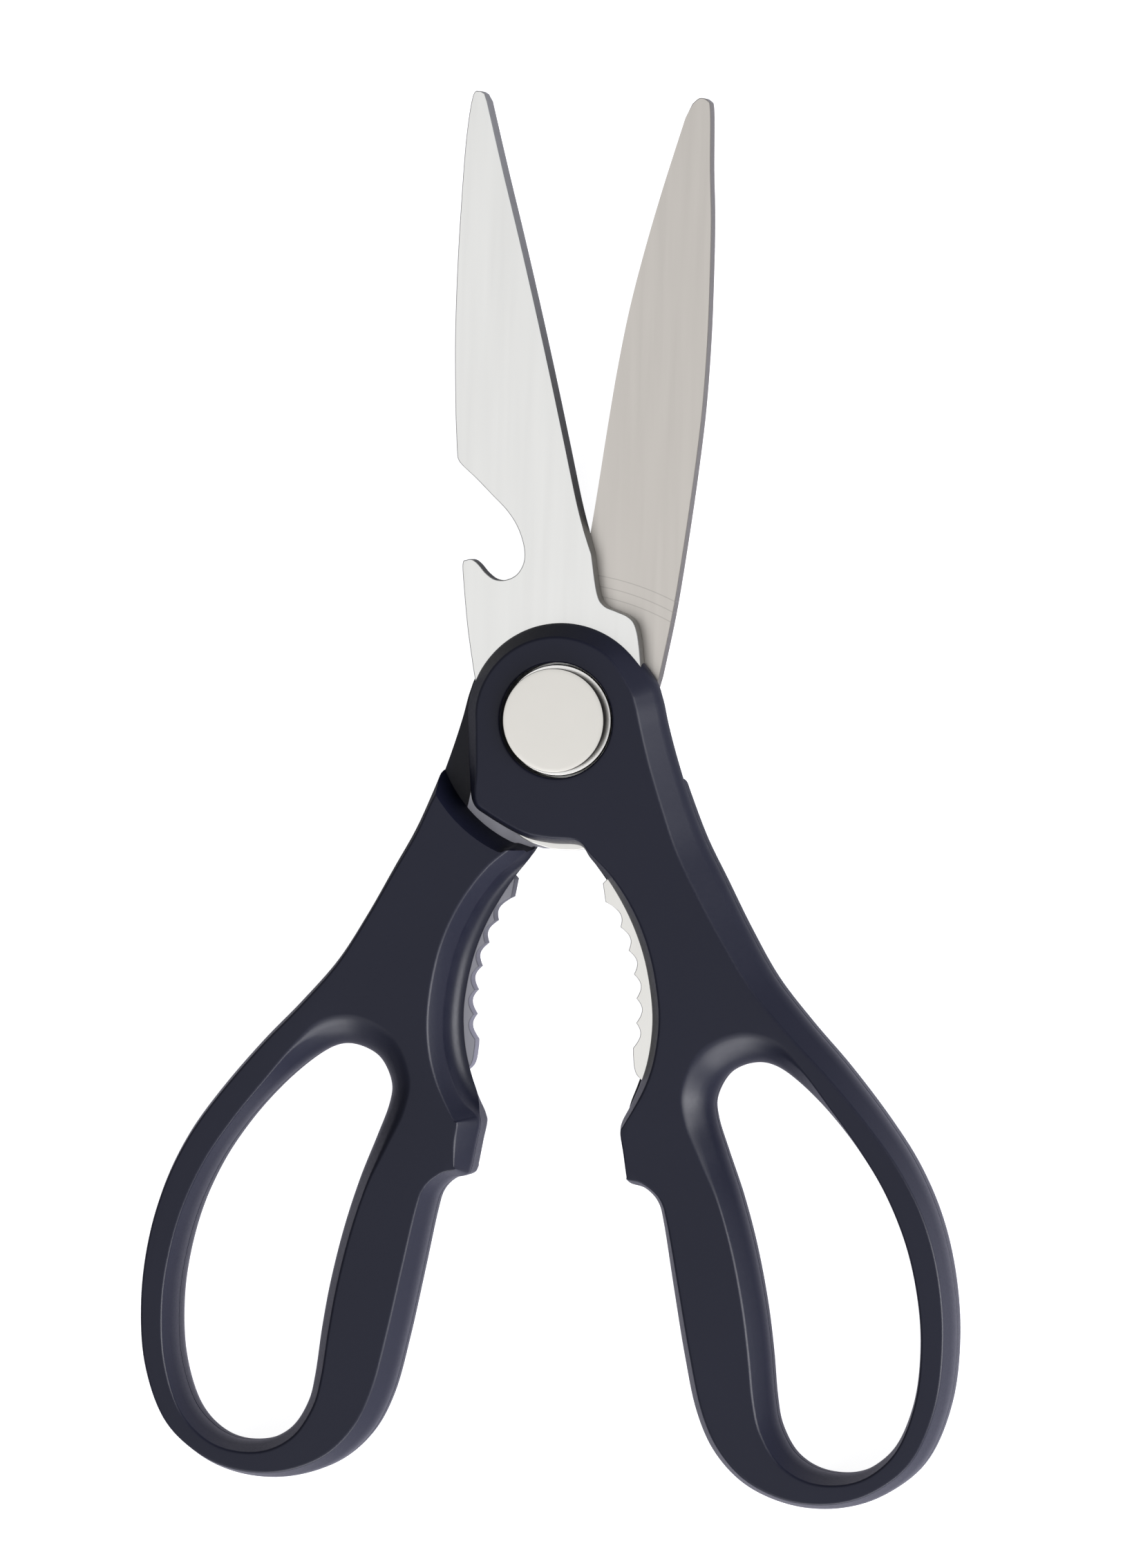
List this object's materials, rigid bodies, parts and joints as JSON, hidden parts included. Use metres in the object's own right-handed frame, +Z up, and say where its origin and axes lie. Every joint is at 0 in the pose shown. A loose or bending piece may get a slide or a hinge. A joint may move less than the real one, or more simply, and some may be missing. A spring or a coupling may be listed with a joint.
{
  "type": "poultry shears",
  "caption": "Two-blade kitchen and poultry shears with a bottle-opener notch, serrated nutcracker jaws, moulded finger loops and a capped pivot bolt.",
  "frame": {"origin": "on the pivot axis, in the plane that the shears lie on", "axes": "+Z up along the pivot axis towards the polished cap, +Y along the middle of the open blades towards their tips, +X towards the handle that belongs to the front blade"},
  "size_m": [0.1214, 0.2025, 0.0135],
  "materials": {
    "front_blade_steel": "fine ground stainless steel",
    "rear_blade_steel": "fine ground stainless steel, inner face",
    "handle_plastic": "satin moulded plastic, near black navy",
    "bolt_steel": "turned stainless steel",
    "polished_steel": "polished, slightly domed",
    "bearing_plastic": "natural bearing nylon",
    "spring_steel": "hardened spring steel"
  },
  "bodies": {
    "rear_half": {"rear_blade": "rear_blade_steel", "rear_handle": "handle_plastic", "pivot_bolt": "bolt_steel", "pivot_cap": "polished_steel", "thrust_washer": "bearing_plastic", "spring_washer": "spring_steel", "rear_washer": "bearing_plastic", "pivot_nut": "bolt_steel"},
    "front_half": {"front_blade": "front_blade_steel", "front_handle": "handle_plastic"}
  },
  "joints": [
    {"name": "blade_pivot", "type": "hinge", "parent": "rear_half", "child": "front_half", "pos_m": [0, 0, 0.006], "axis": [0, 0, 1], "range_deg": [-19.8, 62]}
  ]
}
